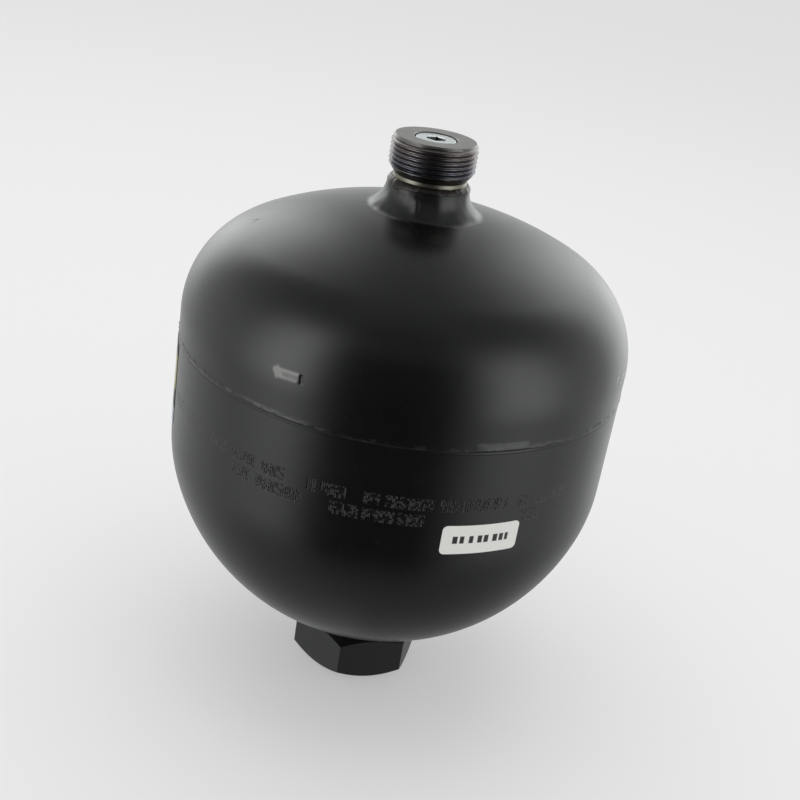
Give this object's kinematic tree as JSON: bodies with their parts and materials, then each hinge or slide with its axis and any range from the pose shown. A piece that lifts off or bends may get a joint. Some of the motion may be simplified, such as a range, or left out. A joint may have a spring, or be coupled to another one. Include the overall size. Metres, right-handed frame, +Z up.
{
  "type": "diaphragm accumulator",
  "caption": "Welded round steel hydraulic accumulator with a threaded gas stub and screw on top and a hexagonal fluid port below.",
  "frame": {"origin": "centre of the fluid port's end face, on which the accumulator stands", "axes": "+Z up the vessel's axis, from the fluid port to the gas port; -Y towards the front, with the white label to the right of it"},
  "size_m": [0.15, 0.15, 0.197],
  "materials": {
    "black_paint": "semi-gloss black coating over forged steel",
    "tempered_steel": "turned steel with brown and blue temper colours",
    "zinc_plate": "bright zinc plate",
    "seal_copper": "soft copper",
    "bare_steel": "machined steel",
    "nitrile_rubber": "moulded nitrile rubber",
    "white_label": "satin white film",
    "yellow_label": "satin film"
  },
  "bodies": {
    "vessel": {"lower_shell": "black_paint", "upper_shell": "black_paint", "equator_weld": "black_paint", "gas_port": "tempered_steel", "gas_port_weld": "tempered_steel", "charging_screw_seal": "seal_copper", "fluid_port": "black_paint", "fluid_port_weld": "black_paint", "diaphragm": "nitrile_rubber", "clamp_ring": "bare_steel", "pressure_label": "white_label", "side_label": "yellow_label"},
    "button": {"closing_button": "bare_steel"},
    "screw": {"charging_screw": "zinc_plate"}
  },
  "joints": [
    {"name": "button_slide", "type": "slide", "parent": "vessel", "child": "button", "axis": [0, 0, 1], "range_m": [0, 0.075], "deforming": ["diaphragm"]},
    {"name": "screw_turn", "type": "hinge", "parent": "vessel", "child": "screw", "pos_m": [0, 0, 0.1907], "axis": [0, 0, 1], "range_deg": [0, 180]}
  ]
}
